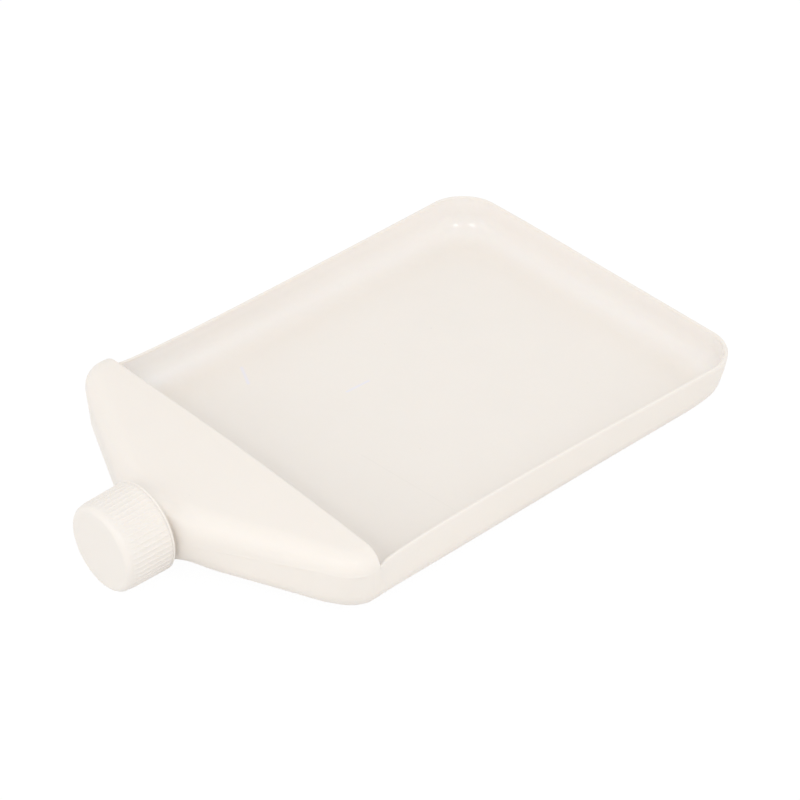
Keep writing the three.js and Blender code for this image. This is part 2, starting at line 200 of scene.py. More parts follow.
class Patchwork:
    """Collects patches of points in millimetres, then joins them into one closed mesh."""

    def __init__(self):
        self.points = []
        self.faces = []
        self.count = 0
        self.inside = 0.0  # 1 while the points being kept lie on an inner skin
        self.insides = []

    def keep(self, points):
        """Stores points and returns their numbers in the same layout."""
        flat = np.asarray(points, float).reshape(-1, 3)
        numbers = np.arange(len(flat)) + self.count
        self.points.append(flat)
        self.insides.append(np.full(len(flat), self.inside, np.float32))
        self.count += len(flat)
        return numbers.reshape(np.shape(points)[:-1])

    def add_grid(self, grid):
        """Faces between the neighbouring points of rows by columns."""
        n = self.keep(grid)
        quads = np.stack([n[:-1, :-1], n[1:, :-1], n[1:, 1:], n[:-1, 1:]], axis=-1)
        self.faces += quads.reshape(-1, 4).tolist()

    def add_rings(self, rings):
        """Faces between closed rings. A ring may have half as many points as the one before."""
        numbers = [self.keep(ring) for ring in rings]
        for a, b in zip(numbers, numbers[1:]):
            if len(a) == len(b):
                self.faces += np.stack([a, b, np.roll(b, -1), np.roll(a, -1)], axis=-1).tolist()
            else:
                even, odd, after = a[::2], a[1::2], np.roll(a, -2)[::2]
                onward = np.roll(b, -1)
                self.faces += np.stack([even, b, odd], axis=-1).tolist()
                self.faces += np.stack([odd, b, onward], axis=-1).tolist()
                self.faces += np.stack([odd, onward, after], axis=-1).tolist()

    def add_pole(self, ring, middle):
        """Closes a ring round its middle."""
        n = self.keep(ring)
        pole = np.full(len(n), self.keep([middle])[0])
        self.faces += np.stack([n, pole, np.roll(n, -1)], axis=-1).tolist()

    def to_object(self, name):
        mesh = bpy.data.meshes.new(name)
        mesh.from_pydata((np.concatenate(self.points) * MM).tolist(), [], self.faces)
        inside = mesh.attributes.new("inside", "FLOAT", "POINT")
        inside.data.foreach_set("value", np.concatenate(self.insides))
        work = bmesh.new()
        work.from_mesh(mesh)
        bmesh.ops.remove_doubles(work, verts=work.verts, dist=JOIN_DISTANCE * MM)
        bmesh.ops.recalc_face_normals(work, faces=work.faces)
        work.to_mesh(mesh)
        work.free()
        mesh.shade_smooth()
        obj = bpy.data.objects.new(name, mesh)
        bpy.context.scene.collection.objects.link(obj)
        return obj


# ---------------------------------------------------------------- the moulding's outline


def body_half_width(y, inset):
    """Half width of the inset outline ahead of the tray, without the neck."""
    past_side = SIDE_END - y
    if past_side <= 0:
        return HALF_WIDTH - inset
    radius = SHOULDER_CORNER_RADIUS - inset
    arc = np.sqrt(np.maximum(radius**2 - past_side**2, 0))
    line = (y - shoulder_y(0, inset)) / math.tan(SHOULDER_ANGLE)
    on_arc = past_side <= radius * math.cos(SHOULDER_ANGLE)
    return np.where(on_arc, HALF_WIDTH - SHOULDER_CORNER_RADIUS + arc, line)


def skin_half_width(y, skin):
    """Half width of a skin ahead of the tray, with its neck."""
    from_base = y - skin.neck_base
    if from_base <= 0:
        return skin.neck_radius
    if from_base <= skin.fillet * math.sin(SHOULDER_TURN):
        return skin.neck_radius + skin.fillet - math.sqrt(skin.fillet**2 - from_base**2)
    return float(body_half_width(y, skin.inset))


# ---------------------------------------------------------------- the moulding's sections
#
# A section's half runs from the middle of the underside, over its side, to the middle of its
# top. A station says how far along it a point is: 0 to 1 across the bottom flat, 1 to 2 round
# the lower edge, 2 to 3 up the straight side, 3 to 4 round the upper edge, 4 to 5 back across.


def straight_side(skin):
    """The heights over the axis between which the side is straight."""
    return skin.lower_radius - skin.half_height, skin.half_height - skin.upper_radius


def side_station(height, skin):
    """The station at a height over the axis, above the lower edge."""
    low, high = straight_side(skin)
    if height <= high:
        return 2 + (height - low) / (high - low)
    return 3 + math.asin((height - high) / skin.upper_radius) / (math.pi / 2)


def edge_place(station, skin):
    """Inset and height over the axis at stations 1 to 4."""
    low, high = straight_side(skin)
    angle = (np.minimum(station - 2, 0) + np.maximum(station - 3, 0)) * math.pi / 2
    radius = np.where(station < 2.5, skin.lower_radius, skin.upper_radius)
    inset = skin.inset + radius * (1 - np.cos(angle))
    height = lerp(low, high, np.clip(station - 2, 0, 1)) + radius * np.sin(angle)
    return inset, height


def round_angle(station):
    """Where a station lies round the neck, from straight down to straight up."""
    return np.radians(np.interp(station, [0, 1, 2, 3, 4, 5], [-90, -52.5, -7.5, 7.5, 52.5, 90]))


def corner_share(x, y, start_x, start_y, radius):
    """How far a place is round the plan corner that starts at a given x and y, from 0 to 1."""
    return np.clip((np.abs(x) - start_x) / radius, 0, 1) * np.clip((y - start_y) / radius, 0, 1)


def rounder_corner(x, y):
    """How far a rear corner with a larger radius in plan lies inside, along X and along Y."""
    across = np.maximum(np.abs(x) - (HALF_WIDTH - REAR_CORNER_RADIUS - REAR_TUCK), 0)
    along = np.maximum(y - (REAR_CORNER_START - REAR_TUCK), 0)
    beyond = np.hypot(np.maximum(across - REAR_TUCK, 0), np.maximum(along - REAR_TUCK, 0))
    in_corner = np.minimum(across, along) > REAR_TUCK
    level = np.where(in_corner, REAR_TUCK + beyond, np.maximum(across, along))
    share = 1 - level / np.maximum(np.hypot(across, along), level + 1e-9)
    return across * share, along * share


def tuck(x, y, depth):
    """How far the underside draws in, along X and along Y."""
    rear_x, rear_y = rounder_corner(x, y)
    ahead = smoothstep(np.abs(x), 8, 40) * smoothstep(-y, -SIDE_END, -SIDE_END + 8)
    beside = (1 - smoothstep(y, 0, FRONT_TUCK_END)) * smoothstep(np.abs(x), 30, HALF_WIDTH)
    depth = np.clip(depth, 0, 1)
    at_rear = REAR_TUCK_SHARE * depth**REAR_TUCK_POWER
    at_front = FRONT_TUCK * depth**FRONT_TUCK_POWER
    inward = rear_x * at_rear + FRONT_TUCK_AT_SIDES * at_front * beside
    return np.sign(x) * inward, at_front * ahead - rear_y * at_rear


def unevenness(x, y, z):
    """Small rises of the rim and the hood, and slight waves all over."""
    wave = np.sin(x / 15 + 1.3) * np.sin(y / 21 + 0.4) + np.sin((x + y) / 27 + 2)
    rim = RIM_RISE * np.exp(-(((x - RIM_RISE_X) / RIM_RISE_SPREAD) ** 2)) * smoothstep(y, 135, 160)
    off = np.abs(y - HOOD_RISE_Y)
    hood = HOOD_RISE * smoothstep(-x, 45, 66) * (1 - smoothstep(off, 4, 20))
    return WAVINESS * wave + (rim + hood) * smoothstep(z, 6, RIM_HEIGHT)


def shaped(x, y, height):
    """Places plain points and gives them the crown, drafts, sprung walls and slight waves."""
    z = AXIS_HEIGHT + height
    across = x / HALF_WIDTH
    on_body = smoothstep(y, OUTER_SKIN.neck_base, SIDE_END)
    crown = HOOD_CROWN * (1 - across**2) * np.clip(height / INNER_SKIN.half_height, 0, 1)
    depth = 1 - z / BODY_HEIGHT
    lean = across * WALL_DRAFT * depth * on_body
    along = np.clip(y / REAR_CORNER_START, 0, 1)
    sprung = RIM_SPRING * np.sin(math.pi * np.sqrt(along)) * np.clip(z / RIM_HEIGHT, 0, 1)
    sprung = sprung * smoothstep(y, -0.5, 4)
    rear_x = HALF_WIDTH - REAR_CORNER_RADIUS
    rear = corner_share(x, y, rear_x, REAR_CORNER_START, REAR_CORNER_RADIUS)
    front_x = HALF_WIDTH - SHOULDER_CORNER_RADIUS
    front = corner_share(x, -y, front_x, -SIDE_END, SHOULDER_CORNER_RADIUS)
    corner_lean = 2 * CORNER_DRAFT * depth
    tuck_x, tuck_y = tuck(x, y, depth)
    inward = lean + np.sign(x) * (sprung * across**4 + corner_lean * (rear + front)) + tuck_x
    shaped_y = y - corner_lean * (rear - front) + tuck_y
    shaped_z = z + (crown + unevenness(x, y, z)) * on_body
    return np.stack([x - inward, shaped_y, shaped_z], axis=-1)


def half_section(y, stations, skin, seam_rise):
    """A section's +X half as x and height."""
    flat_share = np.clip(np.minimum(stations, 5 - stations), 0, 1)
    inset, height = edge_place(np.clip(stations, 1, 4), skin)
    side = skin_half_width(y, skin)
    edge_side = body_half_width(y, skin.inset)
    corner_width = edge_side - body_half_width(y, skin.inset + skin.lower_radius)
    squeeze = min(1, (1 - LEAST_FLAT_SHARE) * side / corner_width)
    x = (side - (edge_side - body_half_width(y, inset)) * squeeze) * flat_share
    body_share = smoothstep(y, OUTER_SKIN.neck_base, OUTER_SKIN.neck_base + NECK_RAMP)
    angle = round_angle(stations)
    round_height = lerp(skin.neck_radius, skin.half_height, body_share)
    x = lerp(side * np.cos(angle), x, body_share)
    height = lerp(round_height * np.sin(angle), height, body_share)
    return x + seam_rise, height


def round_both(values, sign=1):
    """A closed loop's values from its +X half, which starts and ends on the middle line."""
    return np.concatenate([values, sign * values[1:-1][::-1]])


def flat_stations():
    """Shares of a flat from its middle to its edge, with a last narrow step."""
    return np.append(np.linspace(0, 0.97, FLAT_STEPS), 1)


def rising_stations(middle):
    """Stations from the lower edge to a given one on the side, closer together at its end."""
    corner = np.linspace(1, 2, CORNER_STEPS + 1)
    near = SEAM_HALF_WIDTH / 8
    wall = np.linspace(2, middle - near, WALL_STEPS)[1:]
    return np.concatenate([corner, wall, [middle - near / 2.5, middle]])


def upper_stations(middle):
    """Stations from the parting line to the top flat's edge."""
    near = SEAM_HALF_WIDTH / 8
    return np.concatenate([[middle + near / 2.5], np.linspace(middle + near, 4, UPPER_STEPS)])


def cut_height(x):
    """The plain height over the axis that the crown brings to the rim's rounding."""
    crown = HOOD_CROWN * (1 - (x / HALF_WIDTH) ** 2)
    return (RIM_HEIGHT - CUT_ROUNDING - AXIS_HEIGHT) / (1 + crown / INNER_SKIN.half_height)


def cut_side_x(skin):
    """The side wall's plain half width at the rim."""
    station = side_station(RIM_HEIGHT - CUT_ROUNDING - AXIS_HEIGHT, skin)
    return HALF_WIDTH - edge_place(np.array(station), skin)[0]


def seam_station(y, skin):
    """The parting line climbs from the neck's axis to the rim's height along the shoulder."""
    climb_length = SIDE_END - SEAM_CLIMB_END - OUTER_SKIN.neck_base
    climb = np.clip((y - OUTER_SKIN.neck_base) / climb_length, 0, 1)
    return lerp(2.5, side_station(cut_height(cut_side_x(skin)), skin), float(climb))


def seam_rise(y, stations, middle, skin):
    """How far the parting line's fine, broken ridge stands out, on the outer skin only."""
    near = SEAM_HALF_WIDTH / 8
    if skin is not OUTER_SKIN:
        return 0
    ends = smoothstep(-y, -SIDE_END, -SIDE_END + 4) * smoothstep(y - OUTER_SKIN.neck_base, 1, 5)
    breaks = smoothstep(math.sin(y * 1.7) + math.sin(y * 0.67 + 1), -1.2, 0.8)
    along_x = SEAM_HEIGHT / math.sin(SHOULDER_ANGLE)
    return along_x * ends * breaks * np.clip(1.2 * (1 - np.abs(stations - middle) / near), 0, 1)


def section_loop(y, skin):
    middle = seam_station(y, skin)
    flat = flat_stations()
    stations = np.concatenate(
        [flat[:-1], rising_stations(middle), upper_stations(middle), (5 - flat[:-1])[::-1]]
    )
    x, height = half_section(y, stations, skin, seam_rise(y, stations, middle, skin))
    x[[0, -1]] = 0
    return shaped(round_both(x, -1), y, round_both(height))


def section_places(skin):
    """Where a skin has its sections, from the cut edge to the start of its round neck."""
    corner_end = SIDE_END - (SHOULDER_CORNER_RADIUS - skin.inset) * math.cos(SHOULDER_ANGLE)
    fillet_end = skin.neck_base + skin.fillet * math.sin(SHOULDER_TURN)
    before = np.linspace(HOOD_END, SIDE_END, 5)[:-1]
    turned = 1 - np.cos(np.linspace(0, math.pi / 2, PLAN_ARC_STEPS + 1))
    corner = lerp(SIDE_END, corner_end, turned)
    shoulder = np.linspace(corner_end, fillet_end, SHOULDER_STEPS + 1)[1:]
    fillet = lerp(skin.neck_base, fillet_end, (1 - np.linspace(0, 1, FILLET_STEPS + 1)[1:]) ** 2)
    return np.concatenate([before, corner, shoulder, fillet])


# ---------------------------------------------------------------- the moulding's tray


def u_line(inset):
    """Plain x and y round the tray at an inset, from the +X end of the cut edge to its -X end.
    The inset may be one number or one for each point."""
    sides = lerp(HOOD_END, REAR_CORNER_START, np.linspace(0, 1, SIDE_STEPS + 1) ** 1.6)
    angles = np.linspace(0, math.pi / 2, PLAN_ARC_STEPS + 1)[1:]
    across = np.linspace(1, 0, REAR_STEPS + 1)[1:]
    count = len(sides) + len(angles) + len(across)
    inset = np.broadcast_to(inset, 2 * count - 1)[:count]
    at_side, at_arc, at_rear = np.split(inset, [len(sides), len(sides) + len(angles)])
    arc_x = HALF_WIDTH - REAR_CORNER_RADIUS
    radius = REAR_CORNER_RADIUS - at_arc
    x = np.concatenate([HALF_WIDTH - at_side, arc_x + radius * np.cos(angles), arc_x * across])
    y = np.concatenate([sides, REAR_CORNER_START + radius * np.sin(angles), TRAY_LENGTH - at_rear])
    return np.concatenate([x, -x[:-1][::-1]]), np.concatenate([y, y[:-1][::-1]])


def tray_wall(skin):
    """Rows of points up the wall, from the floor's edge to the rim's rounding."""
    rim_x = u_line(HALF_WIDTH - cut_side_x(skin))[0]
    middles = [side_station(height, skin) for height in cut_height(rim_x)]
    rows = np.array([rising_stations(middle) for middle in middles]).T
    points = []
    for stations in rows:
        inset, height = edge_place(stations, skin)
        x, y = u_line(inset)
        points.append(shaped(x, y, height))
    return np.array(points)


def tray_floor(skin):
    """Rows of points from the floor's middle line out to its edge."""
    x, y = u_line(skin.inset + skin.lower_radius)
    fan_y = TRAY_LENGTH - HALF_WIDTH
    middle_y = np.minimum(y, fan_y)
    rows = [(share * x, lerp(middle_y, y, share)) for share in flat_stations()]
    return np.array([shaped(x, y, np.full(len(x), -skin.half_height)) for x, y in rows])


def rounding(outer, inner, outward, squareness=1):
    """Rows of points that round a cut wall, from its outer skin over to its inner one."""
    middle = (outer + inner) / 2
    half = (outer - inner) / 2
    turns = np.linspace(0, math.pi, CUT_STEPS + 1)
    rows = []
    for turn in turns:
        side = math.copysign(abs(math.cos(turn)) ** squareness, math.cos(turn))
        rows.append(middle + half * side + outward * math.sin(turn) ** squareness)
    return np.array(rows)


def cut_edge(wall, loop):
    """The whole cut edge of a skin: round the rim, then over the hood and back to the start."""
    half_count = (len(loop) + 2) // 2
    notch = FLAT_STEPS + CORNER_STEPS + WALL_STEPS + 1
    over = loop[notch + 1 : 2 * (half_count - 1) - notch][::-1]
    return wall[-1], over


def cut_outward(rim, over):
    """Which way the cut faces: up along the rim, towards the tray along the hood, and both in
    the two notches."""
    up = np.tile([0, 0, CUT_ROUNDING], (len(rim), 1))
    up[[0, -1]] = [0, CUT_ROUNDING, CUT_ROUNDING]
    back = np.tile([0, CUT_ROUNDING, 0], (len(over), 1))
    return np.concatenate([up, back])


# ---------------------------------------------------------------- threads and the neck


def thread_share(angle, y, start):
    """How far a thread's ridge stands at a place, from 0 to 1. Angles grow from +X to +Z."""
    share = np.zeros(np.broadcast(angle, y).shape)
    turn = np.mod(angle, 2 * math.pi) / (2 * math.pi)
    for whole in range(math.ceil(THREAD_TURNS) + 1):
        along = turn + whole
        off = np.abs(y - (start - THREAD_PITCH * along))
        ridge = 1 - smoothstep(off, THREAD_CREST / 2, THREAD_BASE / 2)
        ends = np.minimum(along, THREAD_TURNS - along)
        share = np.maximum(share, ridge * smoothstep(ends, 0, THREAD_FADE))
    return share


def around_neck(radius, angle, y):
    """Points at a radius and angle about the neck's axis."""
    radius, angle, y = np.broadcast_arrays(radius, angle, y)
    return np.stack([radius * np.cos(angle), y, AXIS_HEIGHT + radius * np.sin(angle)], axis=-1)


def even_rows(start, end, step):
    return np.linspace(start, end, math.ceil(abs(end - start) / step) + 1)


def neck_rings(skin, row_height, threaded):
    """Rings of the neck from its base to the lip's rounding, in line with the last section."""
    loop = section_loop(skin.neck_base, skin)
    angle = np.arctan2(loop[:, 2] - AXIS_HEIGHT, loop[:, 0])
    rings = []
    for y in even_rows(skin.neck_base, LIP + LIP_ROUNDING, row_height):
        stands = THREAD_DEPTH * thread_share(angle, y, NECK_THREAD_START) if threaded else 0
        rings.append(around_neck(skin.neck_radius + stands, angle, y))
    return rings


def make_tray():
    patches = Patchwork()
    edges = []
    lips = []
    for skin, row_height in ((OUTER_SKIN, THREAD_ROW), (INNER_SKIN, 1.0)):
        wall = tray_wall(skin)
        loops = [section_loop(y, skin) for y in section_places(skin)]
        neck = neck_rings(skin, row_height, skin is OUTER_SKIN)
        patches.inside = float(skin is INNER_SKIN)
        patches.add_grid(wall)
        patches.add_grid(tray_floor(skin))
        patches.add_rings(loops + neck[1:])
        edges.append(cut_edge(wall, loops[0]))
        lips.append(neck[-1])
    patches.inside = 0.0
    outer, inner = (np.concatenate(edge) for edge in edges)
    patches.add_rings(rounding(outer, inner, cut_outward(*edges[0]), 0.85))
    patches.add_rings(rounding(*lips, np.array([0, -LIP_ROUNDING, 0]), 0.5))
    return patches.to_object("tray_shell")


# ---------------------------------------------------------------- the cap


def rib_pattern():
    """Angles round the cap and how far its ribs stand there, from 0 to 1."""
    flank = (1 - RIB_CREST_SHARE - RIB_ROOT_SHARE) / 2
    crest = np.array([0, 0.5, 1]) * RIB_CREST_SHARE
    steps = np.array([1, 2, 3]) / 3
    down = RIB_CREST_SHARE + flank * steps
    root = down[-1] + RIB_ROOT_SHARE * np.array([1, 2, 3]) / 4
    up = 1 - flank * (1 - np.array([0, 1, 2]) / 3)
    place = np.concatenate([crest, down, root, up])
    fall = 1 - smoothstep(steps, 0, 1)
    height = np.concatenate([np.ones(3), fall, np.zeros(3), smoothstep(np.array([0, 1, 2]) / 3, 0, 1)])
    rib, share = np.meshgrid(np.arange(RIB_COUNT), place, indexing="ij")
    angles = (rib + share).ravel() / RIB_COUNT * 2 * math.pi
    return angles, np.tile(height, RIB_COUNT)


def cap_side():
    """Rings of the cap's outside, from the bead at the skirt's end to the flat face."""
    angles, ribs = rib_pattern()
    rings = []
    bead = SKIRT_BEAD / 2
    for turn in np.linspace(math.pi / 2, -math.pi / 2, 9):
        y = SKIRT_END - bead + bead * math.sin(turn)
        rings.append(around_neck(CAP_OPEN_RADIUS - bead * (1 - math.cos(turn)), angles, y))
    rib_start = SKIRT_END - SKIRT_BEAD
    rib_end = CAP_END + CAP_EDGE_RADIUS
    for y in np.linspace(rib_start, rib_end, 24)[1:]:
        run_in = smoothstep(rib_start - y, 0, RIB_RISE) * smoothstep(y - rib_end, -0.4, RIB_FADE)
        crest = lerp(CAP_OPEN_RADIUS, CAP_CLOSED_RADIUS, (rib_start - y) / (rib_start - rib_end))
        rings.append(around_neck(crest - RIB_DEPTH * (1 - ribs * run_in), angles, y))
    for turn in np.linspace(0, math.pi / 2, CAP_EDGE_STEPS + 1)[1:]:
        radius = CAP_FACE_RADIUS + (CAP_EDGE_RADIUS - RIB_DEPTH) * math.cos(turn)
        rings.append(around_neck(radius, angles, rib_end - CAP_EDGE_RADIUS * math.sin(turn)))
    return rings


def drooped(ring):
    """Lowers a ring of the cap's outside by its share of the way to the closed end."""
    along = SKIRT_END - SKIRT_BEAD - ring[:, 1]
    ring = ring.copy()
    ring[:, 2] -= CAP_DROOP * np.maximum(along, 0) / (CAP_LENGTH - SKIRT_BEAD)
    return ring


def disc_rings(ring_angles, radii, y):
    """Rings inward over a flat disc, each with half the points of the one before, and its pole."""
    rings = []
    angles = ring_angles
    for radius in radii:
        angles = angles[::2]
        rings.append(around_neck(radius, angles, y))
    return rings


def cap_inside(angles):
    """Rings of the bore from the mouth's rounding to the ceiling's edge, with its thread."""
    rings = [around_neck(CAP_BORE_RADIUS + 0.3, angles, SKIRT_END)]
    rings.append(around_neck(CAP_BORE_RADIUS + 0.08, angles, SKIRT_END - 0.1))
    depth = CAP_BORE_RADIUS - NECK_RADIUS - THREAD_CLEARANCE
    for y in even_rows(SKIRT_END - 0.3, CAP_CEILING + 0.4, THREAD_ROW * 1.5):
        stands = depth * thread_share(angles, y, CAP_THREAD_START)
        rings.append(around_neck(CAP_BORE_RADIUS - stands, angles, y))
    rings.append(around_neck(CAP_BORE_RADIUS - 0.12, angles, CAP_CEILING + 0.12))
    rings.append(around_neck(CAP_BORE_RADIUS - 0.4, angles, CAP_CEILING))
    return rings


def make_cap():
    patches = Patchwork()
    angles = rib_pattern()[0]
    side = [drooped(ring) for ring in cap_side()]
    face = [drooped(ring) for ring in disc_rings(angles, CAP_RINGS[1:], CAP_END)]
    patches.add_rings([side[-1], drooped(around_neck(CAP_RINGS[0], angles, CAP_END))] + face)
    patches.add_rings(side)
    patches.add_pole(face[-1], [0, CAP_END, AXIS_HEIGHT - CAP_DROOP])
    inside = cap_inside(angles[::2])
    patches.add_rings([side[0]] + inside)
    ceiling = disc_rings(angles[::2], [10, 5], CAP_CEILING)
    patches.add_rings([inside[-1]] + ceiling)
    patches.add_pole(ceiling[-1], [0, CAP_CEILING, AXIS_HEIGHT])
    return patches.to_object("ribbed_cap")


# ---------------------------------------------------------------- the liner


def make_liner():
    """A foam disc with rounded edges and the ring that the neck's lip has pressed into it."""
    patches = Patchwork()
    angles = np.linspace(0, 2 * math.pi, 129)[:-1]
    front = CAP_CEILING + REST_GAP
    back = front + LINER_THICKNESS
    edge = LINER_EDGE
    rings = []
    for turn in np.linspace(-math.pi / 2, 0, 6):
        radius = LINER_RADIUS - edge * (1 - math.cos(turn))
        rings.append(around_neck(radius, angles, front + edge * (1 + math.sin(turn))))
    for turn in np.linspace(0, math.pi / 2, 6):
        radius = LINER_RADIUS - edge * (1 - math.cos(turn))
        rings.append(around_neck(radius, angles, back - edge * (1 - math.sin(turn))))
    press_low = NECK_RADIUS - NECK_WALL
    for radius in even_rows(LINER_RADIUS - edge - 0.15, press_low - 0.6, 0.2):
        pressed = smoothstep(radius, press_low - 0.3, press_low + 0.2)
        pressed *= 1 - smoothstep(radius, NECK_RADIUS - 0.2, NECK_RADIUS + 0.3)
        rings.append(around_neck(radius, angles, back - LINER_PRESS * pressed))
    patches.add_rings(rings)
    rear = disc_rings(angles, [8, 4, 2], back)
    patches.add_rings([rings[-1]] + rear)
    patches.add_pole(rear[-1], [0, back, AXIS_HEIGHT])
    fore = disc_rings(angles, [10, 5, 2.5], front)
    patches.add_rings([rings[0]] + fore)
    patches.add_pole(fore[-1], [0, front, AXIS_HEIGHT])
    return patches.to_object("foam_liner")


# ---------------------------------------------------------------- materials


class NodeBoard:
    """A material's nodes, with short ways to add and link them."""

    def __init__(self, name):
        self.material = bpy.data.materials.new(name)
        self.material.use_nodes = True
        self.tree = self.material.node_tree
        self.shader = self.tree.nodes["Principled BSDF"]
        self.place = self.add("ShaderNodeTexCoord").outputs["Object"]

    def add(self, kind, **settings):
        node = self.tree.nodes.new(kind)
        for key, value in settings.items():
            setattr(node, key, value)
        return node

    def link(self, source, socket):
        self.tree.links.new(source, socket)

    def noise(self, scale, detail=2.0, roughness=0.5):
        node = self.add("ShaderNodeTexNoise")
        node.inputs["Scale"].default_value = scale
        node.inputs["Detail"].default_value = detail
        node.inputs["Roughness"].default_value = roughness
        self.link(self.place, node.inputs["Vector"])
        return node.outputs["Fac"]

    def spread(self, value, low, high, to_low=0.0, to_high=1.0, smooth=False):
        """Maps a value from one range to another."""
        kind = "SMOOTHSTEP" if smooth else "LINEAR"
        node = self.add("ShaderNodeMapRange", interpolation_type=kind, clamp=True)
        self.link(value, node.inputs["Value"])
        names = ("From Min", "From Max", "To Min", "To Max")
        for name, number in zip(names, (low, high, to_low, to_high)):
            node.inputs[name].default_value = number
        return node.outputs["Result"]

    def math(self, operation, a, b):
        node = self.add("ShaderNodeMath", operation=operation)
        for socket, value in zip(node.inputs, (a, b)):
            if isinstance(value, (int, float)):
                socket.default_value = value
            else:
                self.link(value, socket)
        return node.outputs["Value"]

    def vector(self, operation, value, constant, output):
        """A vector operation on a socket and a constant."""
        node = self.add("ShaderNodeVectorMath", operation=operation)
        self.link(value, node.inputs[0])
        node.inputs[1].default_value = list(constant)
        return node.outputs[output]

    def mix(self, share, a, b):
        """Mixes two colours, each a triple or a socket."""
        node = self.add("ShaderNodeMix", data_type="RGBA")
        self.link(share, node.inputs["Factor"])
        for socket, value in ((node.inputs[6], a), (node.inputs[7], b)):
            if isinstance(value, tuple):
                socket.default_value = (*value, 1)
            else:
                self.link(value, socket)
        return node.outputs[2]

    def blend(self, kind, a, b):
        """Blends two colour sockets fully, by a blend type."""
        node = self.add("ShaderNodeMix", data_type="RGBA", blend_type=kind)
        node.inputs["Factor"].default_value = 1
        self.link(a, node.inputs[6])
        self.link(b, node.inputs[7])
        return node.outputs[2]

    def bump(self, layers):
        """Stacks bumps of (height, distance in metres) into the shader's normal."""
        normal = None
        for height, distance in layers:
            node = self.add("ShaderNodeBump")
            node.inputs["Distance"].default_value = distance
            self.link(height, node.inputs["Height"])
            if normal is not None:
                self.link(normal, node.inputs["Normal"])
            normal = node.outputs["Normal"]
        self.link(normal, self.shader.inputs["Normal"])


HOOD_SPECKS = ((-46.4, -17.8, 0.35, 0.5), (9, -26, 0.25, 0.12))  # x, y, radius in mm, strength
FLOOR_SPECKS = (
    (-27.5, 110.5, 0.35, 0.12),
    (-31.5, 92, 0.35, 0.1),
    (21, 61, 0.3, 0.1),
    (33, 128, 0.3, 0.08),
)
# A faint, thin dark line across the basin's floor, along X.
FLOOR_LINE = ((10, 44.5), (52, 47.8), 0.3, 0.05)  # its ends, half width in mm and strength
STAINS = (((-54, 46), (-45.5, 42), 0.9, 0.9), ((-19.2, 64), (-18.9, 73.5), 0.8, 0.9))  # likewise
STAIN_COLOUR = (0.87, 0.845, 0.9)


def speck_mask(board):
    """Small dark specks at chosen places on the hood and the floor."""
    mask = 0.0
    for specks, height in ((HOOD_SPECKS, AXIS_HEIGHT), (FLOOR_SPECKS, -INNER_SKIN.half_height)):
        for x, y, radius, strength in specks:
            centre = shaped(np.float64(x), y, height)
            edge = radius * MM
            away = board.vector("DISTANCE", board.place, centre * MM, "Value")
            spot = board.spread(away, edge * 0.4, edge, strength, 0)
            mask = board.math("MAXIMUM", mask, spot)
    return mask


def stroke_mask(board, start, end, half_width, strength):
    """A thin straight mark on the basin's floor, sharpest along its middle."""
    floor_z = AXIS_HEIGHT - INNER_SKIN.half_height
    ends = [np.array([*point, floor_z]) * MM for point in (start, end)]
    run = ends[1] - ends[0]
    from_start = board.vector("SUBTRACT", board.place, ends[0], "Vector")
    along = board.vector("DOT_PRODUCT", from_start, run / run.dot(run), "Value")
    scale = board.add("ShaderNodeVectorMath", operation="SCALE")
    scale.inputs[0].default_value = run.tolist()
    board.link(board.spread(along, 0, 1), scale.inputs["Scale"])
    off = board.add("ShaderNodeVectorMath", operation="DISTANCE")
    board.link(from_start, off.inputs[0])
    board.link(scale.outputs["Vector"], off.inputs[1])
    return board.spread(off.outputs["Value"], 0, half_width * MM, strength, 0)


TRAY_COLOUR = (0.905, 0.846, 0.783)
# Painted light: the basin's floor is a little paler than the outside, and its walls paler still, to
# offset the shade and warm bounced light inside the tray.
BASIN_PAINTED_LIGHT_COLOUR = (0.914, 0.858, 0.797)
BASIN_WALL_PAINTED_LIGHT_COLOUR = (0.939, 0.895, 0.856)
WALL_PAINTED_LIGHT_START = (0.0013, 0.0045)  # the heights between which the floor's colour turns into it
# Painted light: the palest colour, on the inner walls beside and under the hood, offsets the shade
# that the hood casts there.
BY_HOOD_PAINTED_LIGHT_COLOUR = (0.975, 0.945, 0.915)  # the palest, on the walls beside and under the hood
BY_HOOD_PAINTED_LIGHT_START = (0.0015, 0.005)  # the heights between which it sets in
BY_HOOD_PAINTED_LIGHT_REACH = (0.05, 0.008)  # and the places along Y
CAP_COLOUR = (0.909, 0.852, 0.79)
LINER_COLOUR = (0.90, 0.885, 0.85)
LINER_DARK_COLOUR = (0.873, 0.85845, 0.8245)
SPECK_COLOUR = (0.30, 0.26, 0.22)


def plastic_colour_and_painted_light(board, colour):
    """Which skin a place is on, and the colour there: the outside's, or painted light on the inner
    skin, slightly paler on the basin's floor, paler still up its walls and palest on the walls by the
    hood."""
    inside = board.add("ShaderNodeAttribute", attribute_name="inside").outputs["Fac"]
    split = board.add("ShaderNodeSeparateXYZ")
    board.link(board.place, split.inputs["Vector"])
    # painted light: paler up the basin's walls, where their shade falls
    wall_light_share = board.spread(split.outputs["Z"], *WALL_PAINTED_LIGHT_START, smooth=True)
    basin = board.mix(wall_light_share, BASIN_PAINTED_LIGHT_COLOUR, BASIN_WALL_PAINTED_LIGHT_COLOUR)
    # painted light by the hood, where its shade falls
    by_hood_light_share = board.spread(split.outputs["Y"], *BY_HOOD_PAINTED_LIGHT_REACH, smooth=True)
    high = board.spread(split.outputs["Z"], *BY_HOOD_PAINTED_LIGHT_START, smooth=True)
    basin = board.mix(board.math("MULTIPLY", by_hood_light_share, high), basin, BY_HOOD_PAINTED_LIGHT_COLOUR)
    return inside, board.mix(inside, colour, basin)


